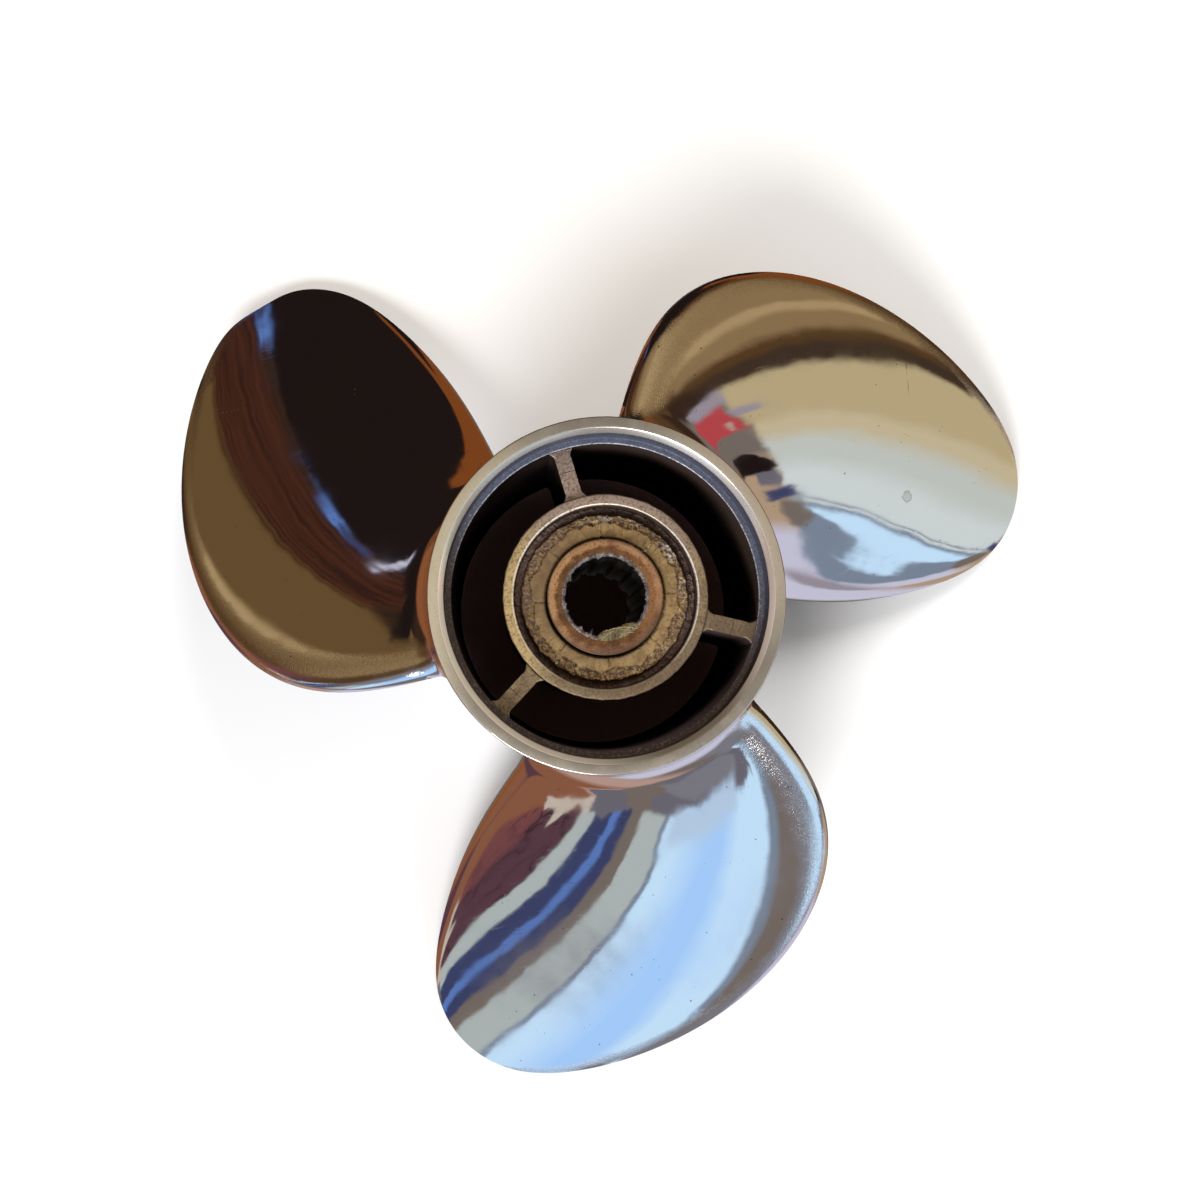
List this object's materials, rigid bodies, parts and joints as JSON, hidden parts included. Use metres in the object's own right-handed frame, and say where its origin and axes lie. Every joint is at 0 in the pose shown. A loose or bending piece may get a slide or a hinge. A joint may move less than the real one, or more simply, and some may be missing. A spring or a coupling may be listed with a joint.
{
  "type": "outboard boat propeller",
  "caption": "Cast stainless steel boat propeller with swept blades, a through-hub exhaust, a rubber bushing and a splined bronze sleeve.",
  "frame": {"origin": "on the shaft's axis, in the plane of the hub's aft end, which the propeller stands on", "axes": "+Z along the shaft towards the engine, +Y along the first rib"},
  "size_m": [0.2932, 0.2991, 0.12],
  "materials": {
    "polished_steel": "mirror polished, with fine hand polishing marks",
    "barrel_steel": "polished outside, turned satin on the front face, rough and dark inside",
    "cast_steel": "as cast, turned on the front, stained brown",
    "bushing_rubber": "dull, crumbling at its outer edge",
    "bronze": "turned satin, rusty orange"
  },
  "bodies": {
    "root": {"outer_hub": "barrel_steel", "inner_hub": "cast_steel", "rib_1": "cast_steel", "rib_2": "cast_steel", "rib_3": "cast_steel", "blade_1": "polished_steel", "blade_2": "polished_steel", "blade_3": "polished_steel", "rubber_bushing": "bushing_rubber", "splined_sleeve": "bronze"}
  },
  "joints": []
}
